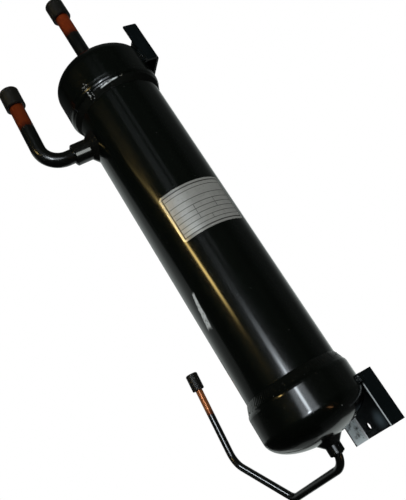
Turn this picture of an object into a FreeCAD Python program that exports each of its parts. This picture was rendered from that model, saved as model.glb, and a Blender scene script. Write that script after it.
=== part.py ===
import FreeCAD, Part
import math
import os

# Upright refrigerant oil separator with a float valve, in millimetres.
# Origin: centre of the four wall bolts, on the wall face of the two brackets.
# +Y points into the wall, +Z up. The vessel's axis is parallel to Z, in front of the wall.
# Pieces are drawn about the vessel's axis and moved in front of the wall when they are saved.

V = FreeCAD.Vector
UP = V(0, 0, 1)

# Vessel
BODY_OD = 114.3
BODY_WALL = 4.5
BODY_SHOWN = 406.0         # length of pipe between the two shoulder welds
BODY_MIDDLE_Z = 0.0        # middle of that length, from the bolt pattern's centre
PIPE_INSERT = 38.0         # length of pipe hidden in each end cap
CAP_WALL = 6.0
CAP_CLEARANCE = 0.3        # between the pipe and the caps that fit over it
CAP_CROWN = 33.0           # height of the domed end beyond the straight skirt
TOP_SKIRT = 53.0           # weld toe to the start of the dome
BOTTOM_SKIRT = 43.5
WELD_LEG = 9.0             # shoulder weld, along the pipe
SHOULDER = 16.0            # weld toe to the cap's full diameter

# Wall brackets
BRACKET_WIDTH = 91.0
BRACKET_HEIGHT = 63.0
BRACKET_FLANGE = 20.6
BRACKET_SHEET = 3.0
BRACKET_BEND = 4.0         # outer radius of the folds
BOLT_SPACING_X = 54.0
BOLT_SPACING_Z = 577.0
BOLT_HOLE = 9.0
BOLT_TO_END = 12.0         # bolt line to the bracket's outer end
BRACKET_WELD = 4.0
BRACKET_STANDOFF = 1.6     # between the end caps and the brackets' webs
BRACKET_LAP = 9.0          # least length of bracket along a cap's skirt

# Gas connections
GAS_TUBE_OD = 19.05
GAS_TUBE_WALL = 1.2
GAS_BUSHING_OD = 28.0
BUSHING_CLEARANCE = 0.1
BUSHING_CHAMFER = 1.2
BUSHING_WELD = 6.0
INLET_AZIMUTH = -99.6
INLET_BELOW_TOE = 31.7
INLET_BUSHING_REACH = 83.7  # from the vessel's axis
INLET_RISER_REACH = 120.2
INLET_BEND = 27.7
INLET_RISE = 123.8         # length of the riser from the level run's middle line
INLET_RISER_LEAN = 1.7     # degrees towards the vessel
INLET_TUBE_START = 50.0
OUTLET_BUSHING_RISE = 15.0
OUTLET_RISE = 116.6        # end of the tube above the crown
OUTLET_DROP = 223.5        # lower end of the tube below the crown

# Oil return line
OIL_TUBE_OD = 9.525
OIL_TUBE_WALL = 0.9
OIL_BUSHING_OD = 18.0
OIL_BUSHING_DROP = 16.5
OIL_BUSHING_INSIDE = 6.0
OIL_BORE = 7.0
OIL_TUBE_SOCKET = 14.0
OIL_SOCKET_FLARE = 1.2     # the socket's mouth is opened by this much, for the filler and the bend
OIL_SOCKET_FLARE_DEPTH = 6.5
OIL_AZIMUTH = 192.5
OIL_FIRST_DROP = 29.5      # start of the low run below the crown
OIL_LOW_DROP = 33.0        # end of the low run below the crown
OIL_LOW_REACH = 113.7
OIL_CLIMB_REACH = 189.5
OIL_CLIMB = 73.5           # height gained on the sloping run
OIL_RISER_RISE = 125.2
OIL_RISER_LEAN = 7.0       # degrees towards the vessel
OIL_FIRST_BEND = 18.0
OIL_LOW_BEND = 20.0
OIL_RISER_BEND = 30.0

# Transit caps pushed over the tube ends
TRANSIT_WALL = 3.4
TRANSIT_END = 3.0
TRANSIT_CLEARANCE = 0.05
TRANSIT_GAS_DEPTH = 25.0
TRANSIT_OIL_DEPTH = 20.5
TRANSIT_EDGE = 2.4
TRANSIT_TIP_GAP = 0.2

# Data plate
PLATE_SHEET = 0.8
PLATE_GLUE = 0.15         # glue line between the plate and the pipe
PLATE_HEIGHT = 62.5
PLATE_SPAN = 87.0          # degrees round the pipe
PLATE_AZIMUTH = -2.3
PLATE_MIDDLE_Z = 11.6
PLATE_CORNER = 4.0

# Inlet deflector
DEFLECTOR_SHEET = 2.0
DEFLECTOR_RADIUS = 39.0
DEFLECTOR_SPAN = 80.0
DEFLECTOR_HEIGHT = 48.0

# Outlet screen
SCREEN_OD = 60.0
SCREEN_SHEET = 1.2
SCREEN_HEIGHT = 78.0
SCREEN_PLATE = 2.0
SCREEN_PLATE_LIP = 3.0
SCREEN_HOLE = 8.0
SCREEN_ROWS = 5
SCREEN_COLUMNS = 10
SCREEN_TUBE_REACH = 24.0   # tube end below the screen's top plate

# Sump baffle
BAFFLE_SHEET = 1.6
BAFFLE_RIM = 10.0
BAFFLE_CLEARANCE = 0.2
BAFFLE_HOLE = 11.0
BAFFLE_HOLES = 8
BAFFLE_HOLE_RING = 36.0
BAFFLE_ABOVE_TOE = 92.0

# Float valve
VALVE_OD = 22.0
VALVE_HEIGHT = 30.0
VALVE_FLOOR = 6.0
VALVE_CHAMBER = 14.0
VALVE_GUIDE = 8.0          # length of the needle's guide at the top
VALVE_PORT = 5.0
VALVE_SPIGOT = 4.0
VALVE_SPIGOT_CLEARANCE = 0.05
SEAT_BORE = 3.0
NEEDLE_OD = 8.0
NEEDLE_CLEARANCE = 0.05
NEEDLE_TIP = 6.0
NEEDLE_TIP_CLEARANCE = 0.1
NEEDLE_NECK = 4.0
NECK_HEIGHT = 4.2
HEAD_HEIGHT = 2.0
NECK_ABOVE_VALVE = 3.2     # underside of the neck above the valve body
YOKE_SHEET = 1.5
YOKE_WIDTH = 13.0
YOKE_EAR_HEIGHT = 9.0
YOKE_EAR_LENGTH = 10.0
PIVOT_REACH = 22.0
PIN_OD = 3.0
PIN_OVERHANG = 2.0
PIN_CLEARANCE = 0.05
ARM_SHEET = 2.0
ARM_WIDTH = 8.0
ARM_EYE = 6.0
FORK_CLEARANCE = 0.4
STEM_REACH = 12.0
STEM_OD = 5.0
FLOAT_OD = 56.0
FLOAT_WALL = 0.6
FLOAT_ABOVE_ARM = 45.0     # middle of the float above the arm
MAGNET_OD = 48.0
MAGNET_BORE = 32.0
MAGNET_HEIGHT = 6.0
MAGNET_SEAT_GAP = 0.1

# Cutting bodies reach this far past what they cut
OVERCUT = 1.0

# Sizes that follow from the driving dimensions
BODY_R = BODY_OD / 2
BODY_IR = BODY_R - BODY_WALL
CAP_IR = BODY_R + CAP_CLEARANCE
CAP_R = CAP_IR + CAP_WALL
TOP_TOE_Z = BODY_MIDDLE_Z + BODY_SHOWN / 2
BOTTOM_TOE_Z = BODY_MIDDLE_Z - BODY_SHOWN / 2
TOP_CROWN_Z = TOP_TOE_Z + TOP_SKIRT + CAP_CROWN
BOTTOM_CROWN_Z = BOTTOM_TOE_Z - BOTTOM_SKIRT - CAP_CROWN
WALL_Y = CAP_R + BRACKET_STANDOFF + BRACKET_SHEET
INLET_Z = TOP_TOE_Z - INLET_BELOW_TOE
GAS_TUBE_R = GAS_TUBE_OD / 2
GAS_BUSHING_R = GAS_BUSHING_OD / 2
OIL_TUBE_R = OIL_TUBE_OD / 2
OIL_BUSHING_R = OIL_BUSHING_OD / 2
OUTLET_END_Z = TOP_CROWN_Z + OUTLET_RISE
OUTLET_FOOT_Z = TOP_CROWN_Z - OUTLET_DROP
SCREEN_TOP_Z = OUTLET_FOOT_Z + SCREEN_TUBE_REACH
OIL_SOCKET_TOP_Z = BOTTOM_CROWN_Z - OIL_BUSHING_DROP + OIL_TUBE_SOCKET
OIL_LOW_Z = BOTTOM_CROWN_Z - OIL_LOW_DROP
VALVE_FOOT_Z = BOTTOM_CROWN_Z + CAP_WALL + OIL_BUSHING_INSIDE
VALVE_TOP_Z = VALVE_FOOT_Z + VALVE_HEIGHT
SEAT_Z = VALVE_FOOT_Z + VALVE_FLOOR
NECK_Z = VALVE_TOP_Z + NECK_ABOVE_VALVE
ARM_Z = NECK_Z + NECK_HEIGHT / 2
FLOAT_Z = ARM_Z + FLOAT_ABOVE_ARM


def outward(degrees):
    """Level direction at an angle from +X."""
    a = math.radians(degrees)
    return V(math.cos(a), math.sin(a), 0)


def leaning(direction, degrees):
    """Direction of a riser that leans back towards the vessel."""
    a = math.radians(degrees)
    return UP * math.cos(a) - direction * math.sin(a)


def line(a, b):
    return Part.LineSegment(a, b).toShape()


def loop(points):
    """Closed wire of straight edges."""
    return Part.makePolygon(points + [points[0]])


def turned(edges):
    """Solid turned about the vessel's axis from the edges of a closed half section."""
    face = Part.Face(Part.Wire(edges))
    return face.revolve(V(0, 0, 0), UP, 360)


def turned_section(points):
    """Solid turned about the vessel's axis from the corners of a half section, as (radius, z)."""
    face = Part.Face(loop([V(r, 0, z) for r, z in points]))
    return face.revolve(V(0, 0, 0), UP, 360)


def rod(radius, low, high):
    """Cylinder about the vessel's axis between two heights."""
    return Part.makeCylinder(radius, high - low, V(0, 0, low))


def ring(outer, inner, low, high):
    return rod(outer, low, high).cut(rod(inner, low - OVERCUT, high + OVERCUT))


def quarter_ellipse(radius, height, z):
    """Quarter of an ellipse from the skirt's edge to the crown."""
    centre = V(0, 0, z)
    if radius > height:
        ellipse = Part.Ellipse(V(radius, 0, z), V(0, 0, z + height), centre)
        return Part.ArcOfEllipse(ellipse, 0, math.pi / 2).toShape()
    ellipse = Part.Ellipse(V(0, 0, z + height), V(-radius, 0, z), centre)
    return Part.ArcOfEllipse(ellipse, 3 * math.pi / 2, 2 * math.pi).toShape()


def end_cap(skirt):
    """Deep drawn cap with its shoulder weld, drawn with the weld toe at z = 0 and the dome above."""
    corner = SHOULDER - WELD_LEG
    toe = V(BODY_R, 0, 0)
    weld_top = V(CAP_R - corner / 4, 0, WELD_LEG + corner / 4)
    round_mid = V(CAP_R - corner / 16, 0, WELD_LEG + corner * 5 / 8)
    skirt_low = V(CAP_R, 0, SHOULDER)
    skirt_high = V(CAP_R, 0, skirt)
    crown = V(0, 0, skirt + CAP_CROWN)
    inner_crown = V(0, 0, skirt + CAP_CROWN - CAP_WALL)
    inner_high = V(CAP_IR, 0, skirt)
    inner_low = V(CAP_IR, 0, WELD_LEG)
    root = V(BODY_R, 0, WELD_LEG)
    edges = [
        line(toe, weld_top),
        Part.Arc(weld_top, round_mid, skirt_low).toShape(),
        line(skirt_low, skirt_high),
        quarter_ellipse(CAP_R, CAP_CROWN, skirt),
        line(crown, inner_crown),
        quarter_ellipse(CAP_IR, CAP_CROWN - CAP_WALL, skirt),
        line(inner_high, inner_low),
        line(inner_low, root),
        line(root, toe),
    ]
    return turned(edges)


def dome_outside(skirt):
    """Closed outer form of a cap above its weld, for trimming what is welded to it."""
    edges = [
        line(V(0, 0, WELD_LEG), V(CAP_R, 0, WELD_LEG)),
        line(V(CAP_R, 0, WELD_LEG), V(CAP_R, 0, skirt)),
        quarter_ellipse(CAP_R, CAP_CROWN, skirt),
        line(V(0, 0, skirt + CAP_CROWN), V(0, 0, WELD_LEG)),
    ]
    return turned(edges)


def at_top(shape):
    """Moves a shape drawn from the weld toe up to the top of the vessel."""
    return shape.translated(V(0, 0, TOP_TOE_Z))


def at_bottom(shape):
    """Turns a shape drawn from the weld toe over, and moves it to the bottom of the vessel."""
    copy = shape.copy()
    copy.rotate(V(0, 0, 0), V(1, 0, 0), 180)
    return copy.translated(V(0, 0, BOTTOM_TOE_Z))


def route(points, radii):
    """Wire of straight runs through the points, with a tangent arc at each inner point."""
    edges = []
    start = points[0]
    for before, corner, after, radius in zip(points, points[1:], points[2:], radii):
        back = (before - corner).normalize()
        ahead = (after - corner).normalize()
        half = back.getAngle(ahead) / 2
        reach = radius / math.tan(half)
        first = corner + back * reach
        last = corner + ahead * reach
        centre = corner + (back + ahead).normalize() * (radius / math.sin(half))
        middle = centre + (corner - centre).normalize() * radius
        edges.append(line(start, first))
        edges.append(Part.Arc(first, middle, last).toShape())
        start = last
    edges.append(line(start, points[-1]))
    return Part.Wire(edges)


def swept(path, radius):
    """Round bar along a route."""
    first = path.Edges[0]
    start = first.valueAt(first.FirstParameter)
    along = first.tangentAt(first.FirstParameter)
    section = Part.Wire(Part.makeCircle(radius, start, along))
    return path.makePipeShell([section], True, False)


def bent_tube(points, radii, outer, wall):
    """Bent tube, whose volume is compared with its section times its length."""
    path = route(points, radii)
    tube = swept(path, outer).cut(swept(path, outer - wall))
    expected = math.pi * (outer ** 2 - (outer - wall) ** 2) * path.Length
    print("tube of radius", outer, "volume over section times length", round(tube.Volume / expected, 5))
    return tube


def bushing(outer, bore, length):
    """Socket with chamfered outer end, drawn from z = 0 to its outer end."""
    c = BUSHING_CHAMFER
    return turned_section([(bore, 0), (outer, 0), (outer, length - c), (outer - c, length), (bore, length)])


def weld_cone(radius, bore, low, high):
    """Flared weld round a bushing that narrows to the bushing's radius at the high end."""
    spread = high - low
    return turned_section([(bore, low), (radius + spread, low), (radius, high), (bore, high)])


def aimed(shape, direction, base):
    """Turns a shape drawn along Z to a level direction and moves it to a point."""
    copy = shape.copy()
    copy.Placement = FreeCAD.Placement(base, FreeCAD.Rotation(UP, direction)).multiply(copy.Placement)
    return copy


# Vessel

def make_shell_tube():
    low = BOTTOM_TOE_Z - PIPE_INSERT
    high = TOP_TOE_Z + PIPE_INSERT
    pipe = ring(BODY_R, BODY_IR, low, high)
    hole = Part.makeCylinder(GAS_BUSHING_R, BODY_OD, V(0, 0, INLET_Z), outward(INLET_AZIMUTH))
    return pipe.cut(hole)


def make_top_cap():
    cap = at_top(end_cap(TOP_SKIRT))
    return cap.cut(rod(GAS_BUSHING_R, TOP_TOE_Z, TOP_CROWN_Z + OVERCUT))


def make_bottom_cap():
    cap = at_bottom(end_cap(BOTTOM_SKIRT))
    return cap.cut(rod(OIL_BUSHING_R, BOTTOM_CROWN_Z - OVERCUT, BOTTOM_TOE_Z))


# Wall brackets

def make_bracket(skirt, dome, low, high):
    """Channel bracket between two heights, trimmed to the end cap that it is welded to."""
    half = BRACKET_WIDTH / 2
    front = WALL_Y - BRACKET_FLANGE
    height = high - low
    outer = Part.makeBox(BRACKET_WIDTH, BRACKET_FLANGE, height, V(-half, front, low))
    inner_width = BRACKET_WIDTH - 2 * BRACKET_SHEET
    inner = Part.makeBox(inner_width, BRACKET_FLANGE, height + 2 * OVERCUT,
                        V(-inner_width / 2, front - BRACKET_SHEET, low - OVERCUT))
    outer = rounded_folds(outer, half, WALL_Y, BRACKET_BEND)
    inner = rounded_folds(inner, inner_width / 2, WALL_Y - BRACKET_SHEET, BRACKET_BEND - BRACKET_SHEET)
    channel = outer.cut(inner)
    for side in (-1, 1):
        x = side * (half - BRACKET_SHEET / 2)
        lap_low = max(low, min(skirt))
        lap_high = min(high, max(skirt))
        bead = Part.makeCylinder(BRACKET_WELD, lap_high - lap_low, V(x, front, lap_low))
        channel = channel.fuse(bead)
    channel = channel.cut(dome).removeSplitter()
    bolt_z = math.copysign(BOLT_SPACING_Z / 2, low)
    for side in (-1, 1):
        start = V(side * BOLT_SPACING_X / 2, WALL_Y - 2 * BRACKET_SHEET, bolt_z)
        channel = channel.cut(Part.makeCylinder(BOLT_HOLE / 2, 3 * BRACKET_SHEET, start, V(0, 1, 0)))
    return channel


def rounded_folds(block, half, back, radius):
    """Rounds a block's two upright edges next to the wall."""
    folds = []
    for edge in block.Edges:
        ends = [v.Point for v in edge.Vertexes]
        upright = len(ends) == 2 and abs(ends[0].x - ends[1].x) < 1e-6 and abs(ends[0].y - ends[1].y) < 1e-6
        if upright and abs(ends[0].y - back) < 1e-6 and abs(abs(ends[0].x) - half) < 1e-6:
            folds.append(edge)
    return block.makeFillet(radius, folds)


def make_upper_bracket():
    high = BOLT_SPACING_Z / 2 + BOLT_TO_END
    skirt = (TOP_TOE_Z + SHOULDER, TOP_TOE_Z + TOP_SKIRT)
    low = min(high - BRACKET_HEIGHT, TOP_TOE_Z + TOP_SKIRT - BRACKET_LAP)
    return make_bracket(skirt, at_top(dome_outside(TOP_SKIRT)), low, high)


def make_lower_bracket():
    low = -BOLT_SPACING_Z / 2 - BOLT_TO_END
    skirt = (BOTTOM_TOE_Z - SHOULDER, BOTTOM_TOE_Z - BOTTOM_SKIRT)
    high = max(low + BRACKET_HEIGHT, BOTTOM_TOE_Z - BOTTOM_SKIRT + BRACKET_LAP)
    return make_bracket(skirt, at_bottom(dome_outside(BOTTOM_SKIRT)), low, high)


# Gas connections

def make_inlet_bushing():
    direction = outward(INLET_AZIMUTH)
    bore = GAS_TUBE_R + BUSHING_CLEARANCE
    length = INLET_BUSHING_REACH - BODY_IR
    sleeve = bushing(GAS_BUSHING_R, bore, length)
    weld = weld_cone(GAS_BUSHING_R, bore, 0, BODY_WALL + BUSHING_WELD)
    sleeve = aimed(sleeve, direction, direction * BODY_IR + V(0, 0, INLET_Z))
    weld = aimed(weld, direction, direction * BODY_IR + V(0, 0, INLET_Z))
    weld = weld.cut(rod(BODY_R, INLET_Z - BODY_OD, INLET_Z + BODY_OD))
    return sleeve.fuse(weld).removeSplitter()


def inlet_points():
    direction = outward(INLET_AZIMUTH)
    corner = direction * INLET_RISER_REACH + V(0, 0, INLET_Z)
    return [
        direction * INLET_TUBE_START + V(0, 0, INLET_Z),
        corner,
        corner + leaning(direction, INLET_RISER_LEAN) * INLET_RISE,
    ]


def make_inlet_tube():
    return bent_tube(inlet_points(), [INLET_BEND], GAS_TUBE_R, GAS_TUBE_WALL)


def make_outlet_bushing():
    low = TOP_CROWN_Z - CAP_WALL
    high = TOP_CROWN_Z + OUTLET_BUSHING_RISE
    bore = GAS_TUBE_R + BUSHING_CLEARANCE
    sleeve = bushing(GAS_BUSHING_R, bore, high - low).translated(V(0, 0, low))
    weld = weld_cone(GAS_BUSHING_R, bore, TOP_CROWN_Z - CAP_WALL, TOP_CROWN_Z + BUSHING_WELD)
    weld = weld.cut(at_top(dome_outside(TOP_SKIRT)))
    return sleeve.fuse(weld).removeSplitter()


def make_outlet_tube():
    return ring(GAS_TUBE_R, GAS_TUBE_R - GAS_TUBE_WALL, OUTLET_FOOT_Z, OUTLET_END_Z)


# Oil return line

def make_oil_return_bushing():
    high = VALVE_FOOT_Z
    low = BOTTOM_CROWN_Z - OIL_BUSHING_DROP
    socket = OIL_TUBE_R + BUSHING_CLEARANCE
    sleeve = bushing(OIL_BUSHING_R, OIL_BORE / 2, high - low)
    sleeve.rotate(V(0, 0, 0), V(1, 0, 0), 180)
    sleeve = sleeve.translated(V(0, 0, high))
    weld = weld_cone(OIL_BUSHING_R, OIL_BORE / 2, 0, CAP_WALL + BUSHING_WELD)
    weld.rotate(V(0, 0, 0), V(1, 0, 0), 180)
    weld = weld.translated(V(0, 0, BOTTOM_CROWN_Z + CAP_WALL))
    weld = weld.cut(at_bottom(dome_outside(BOTTOM_SKIRT)))
    mouth = Part.makeCone(socket + OIL_SOCKET_FLARE, socket, OIL_SOCKET_FLARE_DEPTH, V(0, 0, low))
    return sleeve.fuse(weld).cut([rod(socket, low - OVERCUT, OIL_SOCKET_TOP_Z), mouth]).removeSplitter()


def oil_return_points():
    direction = outward(OIL_AZIMUTH)
    climb = direction * OIL_CLIMB_REACH + V(0, 0, OIL_LOW_Z + OIL_CLIMB)
    return [
        V(0, 0, OIL_SOCKET_TOP_Z),
        V(0, 0, BOTTOM_CROWN_Z - OIL_FIRST_DROP),
        direction * OIL_LOW_REACH + V(0, 0, OIL_LOW_Z),
        climb,
        climb + leaning(direction, OIL_RISER_LEAN) * OIL_RISER_RISE,
    ]


def make_oil_return_tube():
    bends = [OIL_FIRST_BEND, OIL_LOW_BEND, OIL_RISER_BEND]
    return bent_tube(oil_return_points(), bends, OIL_TUBE_R, OIL_TUBE_WALL)


# Transit caps

def transit_cap(tube_radius, depth, tip, along):
    """Push-on cap over a tube end, with its mouth a depth below the tube's tip."""
    bore = tube_radius + TRANSIT_CLEARANCE
    outer = bore + TRANSIT_WALL
    hollow = depth + TRANSIT_TIP_GAP
    height = hollow + TRANSIT_END
    e = TRANSIT_EDGE
    edges = [
        line(V(bore, 0, 0), V(outer - e / 3, 0, 0)),
        line(V(outer - e / 3, 0, 0), V(outer, 0, e / 3)),
        line(V(outer, 0, e / 3), V(outer, 0, height - e)),
        Part.Arc(V(outer, 0, height - e), V(outer - e * (1 - math.sqrt(0.5)), 0, height - e * (1 - math.sqrt(0.5))),
                 V(outer - e, 0, height)).toShape(),
        line(V(outer - e, 0, height), V(0, 0, height)),
        line(V(0, 0, height), V(0, 0, hollow)),
        line(V(0, 0, hollow), V(bore, 0, hollow)),
        line(V(bore, 0, hollow), V(bore, 0, 0)),
    ]
    return aimed(turned(edges), along, tip - along * depth)


def make_inlet_transit_cap():
    points = inlet_points()
    along = (points[-1] - points[-2]).normalize()
    return transit_cap(GAS_TUBE_R, TRANSIT_GAS_DEPTH, points[-1], along)


def make_outlet_transit_cap():
    return transit_cap(GAS_TUBE_R, TRANSIT_GAS_DEPTH, V(0, 0, OUTLET_END_Z), UP)


def make_oil_return_transit_cap():
    points = oil_return_points()
    along = (points[-1] - points[-2]).normalize()
    return transit_cap(OIL_TUBE_R, TRANSIT_OIL_DEPTH, points[-1], along)


# Data plate

def make_data_plate():
    inner = BODY_R + PLATE_GLUE
    half = PLATE_HEIGHT / 2
    sheet = ring(inner + PLATE_SHEET, inner, PLATE_MIDDLE_Z - half, PLATE_MIDDLE_Z + half)
    sheet = sheet.common(wedge(PLATE_AZIMUTH, PLATE_SPAN, BODY_OD, PLATE_MIDDLE_Z, PLATE_HEIGHT * 2))
    corners = [e for e in sheet.Edges if abs(e.Length - PLATE_SHEET) < 1e-6]
    return sheet.makeFillet(PLATE_CORNER, corners)


def wedge(azimuth, span, reach, middle, height):
    """Sector of a disc about the vessel's axis, centred on an angle and a height."""
    sector = Part.makeCylinder(reach, height, V(0, 0, middle - height / 2), UP, span)
    sector.rotate(V(0, 0, 0), UP, azimuth - span / 2)
    return sector


# Inside the vessel

def make_inlet_deflector():
    """Curved plate in front of the inlet, with one edge folded out to the pipe's wall."""
    high = INLET_Z + DEFLECTOR_HEIGHT / 2
    low = INLET_Z - DEFLECTOR_HEIGHT / 2
    sheet = ring(DEFLECTOR_RADIUS + DEFLECTOR_SHEET, DEFLECTOR_RADIUS, low, high)
    sheet = sheet.common(wedge(INLET_AZIMUTH, DEFLECTOR_SPAN, BODY_OD, INLET_Z, DEFLECTOR_HEIGHT * 2))
    leg = Part.makeBox(BODY_R - DEFLECTOR_RADIUS, DEFLECTOR_SHEET, DEFLECTOR_HEIGHT, V(DEFLECTOR_RADIUS, 0, low))
    leg.rotate(V(0, 0, 0), UP, INLET_AZIMUTH + DEFLECTOR_SPAN / 2)
    leg = leg.common(rod(BODY_IR, low - OVERCUT, high + OVERCUT))
    return sheet.fuse(leg).removeSplitter()


def make_screen_top_plate():
    bore = GAS_TUBE_R + BUSHING_CLEARANCE
    outer = SCREEN_OD / 2 + SCREEN_PLATE_LIP
    return ring(outer, bore, SCREEN_TOP_Z, SCREEN_TOP_Z + SCREEN_PLATE)


def make_outlet_screen():
    """Perforated basket round the outlet tube's lower end."""
    low = SCREEN_TOP_Z - SCREEN_HEIGHT
    basket = ring(SCREEN_OD / 2, SCREEN_OD / 2 - SCREEN_SHEET, low, SCREEN_TOP_Z)
    pitch = SCREEN_HEIGHT / SCREEN_ROWS
    holes = []
    for row in range(SCREEN_ROWS):
        for column in range(SCREEN_COLUMNS):
            azimuth = 360 / SCREEN_COLUMNS * (column + 0.5 * (row % 2))
            centre = V(0, 0, low + pitch * (row + 0.5))
            holes.append(Part.makeCylinder(SCREEN_HOLE / 2, SCREEN_OD, centre, outward(azimuth)))
    return basket.cut(holes)


def make_screen_bottom_plate():
    high = SCREEN_TOP_Z - SCREEN_HEIGHT
    return rod(SCREEN_OD / 2 + SCREEN_PLATE_LIP, high - SCREEN_PLATE, high)


def make_sump_baffle():
    """Pressed disc with a rim turned down and a ring of drain holes."""
    outer = BODY_IR - BAFFLE_CLEARANCE
    top = BOTTOM_TOE_Z + BAFFLE_ABOVE_TOE
    disc = rod(outer, top - BAFFLE_RIM, top)
    disc = disc.cut(rod(outer - BAFFLE_SHEET, top - BAFFLE_RIM - OVERCUT, top - BAFFLE_SHEET))
    for k in range(BAFFLE_HOLES):
        centre = outward(360 / BAFFLE_HOLES * k) * BAFFLE_HOLE_RING + V(0, 0, top - BAFFLE_RIM)
        disc = disc.cut(Part.makeCylinder(BAFFLE_HOLE / 2, 2 * BAFFLE_RIM, centre))
    return disc.cut(rod(BAFFLE_HOLE / 2, top - BAFFLE_RIM, top + OVERCUT))


def make_sump_magnet():
    """Ring magnet that lies in the dished bottom round the valve."""
    drop = math.sqrt(1 - (MAGNET_OD / 2 / CAP_IR) ** 2) * (CAP_CROWN - CAP_WALL)
    low = BOTTOM_TOE_Z - BOTTOM_SKIRT - drop + MAGNET_SEAT_GAP
    return ring(MAGNET_OD / 2, MAGNET_BORE / 2, low, low + MAGNET_HEIGHT)


# Float valve

def make_valve_body():
    """Turned body on the oil bushing, with the seat in its floor and a guide for the needle."""
    body = rod(VALVE_OD / 2, VALVE_FOOT_Z, VALVE_TOP_Z)
    spigot = rod(OIL_BORE / 2 - VALVE_SPIGOT_CLEARANCE, VALVE_FOOT_Z - VALVE_SPIGOT, VALVE_FOOT_Z)
    body = body.fuse(spigot)
    body = body.cut(rod(VALVE_CHAMBER / 2, SEAT_Z, VALVE_TOP_Z - VALVE_GUIDE))
    body = body.cut(rod(NEEDLE_OD / 2 + NEEDLE_CLEARANCE, SEAT_Z, VALVE_TOP_Z + OVERCUT))
    body = body.cut(rod(SEAT_BORE / 2, VALVE_FOOT_Z - VALVE_SPIGOT - OVERCUT, SEAT_Z + OVERCUT))
    port_z = (SEAT_Z + VALVE_TOP_Z - VALVE_GUIDE) / 2
    port = Part.makeCylinder(VALVE_PORT / 2, 2 * VALVE_OD, V(0, -VALVE_OD, port_z), V(0, 1, 0))
    return body.cut(port).removeSplitter()


def make_valve_needle():
    """Needle with a tapered tip on the seat and a spool head that the arm lifts."""
    tip = SEAT_BORE / 2 - NEEDLE_TIP_CLEARANCE
    r = NEEDLE_OD / 2
    neck = NEEDLE_NECK / 2
    shoulder = SEAT_Z + NEEDLE_TIP
    return turned_section([
        (0, SEAT_Z - tip / 2),
        (tip / 2, SEAT_Z - tip / 2),
        (tip, SEAT_Z),
        (r, shoulder),
        (r, NECK_Z),
        (neck, NECK_Z),
        (neck, NECK_Z + NECK_HEIGHT),
        (r, NECK_Z + NECK_HEIGHT),
        (r, NECK_Z + NECK_HEIGHT + HEAD_HEIGHT),
        (0, NECK_Z + NECK_HEIGHT + HEAD_HEIGHT),
    ])


def make_valve_yoke():
    """Folded sheet on the valve body, with two ears that carry the arm's pin."""
    far = PIVOT_REACH + YOKE_EAR_LENGTH / 2
    base = Part.makeBox(far + VALVE_OD / 2, YOKE_WIDTH, YOKE_SHEET, V(-far, -YOKE_WIDTH / 2, VALVE_TOP_Z))
    yoke = base.cut(rod(NEEDLE_OD / 2 + 4 * FORK_CLEARANCE, VALVE_TOP_Z - OVERCUT, VALVE_TOP_Z + YOKE_SHEET + OVERCUT))
    for side in (-1, 1):
        y = side * (YOKE_WIDTH - YOKE_SHEET) / 2 - YOKE_SHEET / 2
        ear = Part.makeBox(YOKE_EAR_LENGTH, YOKE_SHEET, YOKE_EAR_HEIGHT, V(-far, y, VALVE_TOP_Z))
        yoke = yoke.fuse(ear)
    hole = Part.makeCylinder(PIN_OD / 2, 2 * YOKE_WIDTH, V(-PIVOT_REACH, -YOKE_WIDTH, ARM_Z), V(0, 1, 0))
    return yoke.cut(hole).removeSplitter()


def make_arm_pin():
    length = YOKE_WIDTH + 2 * PIN_OVERHANG
    return Part.makeCylinder(PIN_OD / 2, length, V(-PIVOT_REACH, -length / 2, ARM_Z), V(0, 1, 0))


def make_float_arm():
    """Flat arm with an eye on the pin, a fork in the needle's neck and a stem up to the float."""
    low = ARM_Z - ARM_SHEET / 2
    end = STEM_REACH + STEM_OD
    half = ARM_WIDTH / 2
    arm = Part.makeBox(PIVOT_REACH + end, ARM_WIDTH, ARM_SHEET, V(-PIVOT_REACH, -half, low))
    eye = Part.makeCylinder(ARM_EYE / 2, ARM_WIDTH, V(-PIVOT_REACH, -half, ARM_Z), V(0, 1, 0))
    stem = Part.makeCylinder(STEM_OD / 2, FLOAT_Z - low, V(STEM_REACH, 0, low))
    slot_half = NEEDLE_NECK / 2 + FORK_CLEARANCE
    slot = Part.makeBox(2 * slot_half, half + slot_half, 3 * ARM_SHEET, V(-slot_half, -slot_half, low - ARM_SHEET))
    arm = arm.fuse([eye, stem])
    arm = arm.cut(slot)
    bore = Part.makeCylinder(PIN_OD / 2 + PIN_CLEARANCE, 2 * ARM_WIDTH, V(-PIVOT_REACH, -ARM_WIDTH, ARM_Z), V(0, 1, 0))
    arm = arm.cut(bore)
    return arm.cut(Part.makeSphere(FLOAT_OD / 2, V(STEM_REACH, 0, FLOAT_Z))).removeSplitter()


def make_float_ball():
    centre = V(STEM_REACH, 0, FLOAT_Z)
    return Part.makeSphere(FLOAT_OD / 2, centre).cut(Part.makeSphere(FLOAT_OD / 2 - FLOAT_WALL, centre))


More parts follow.
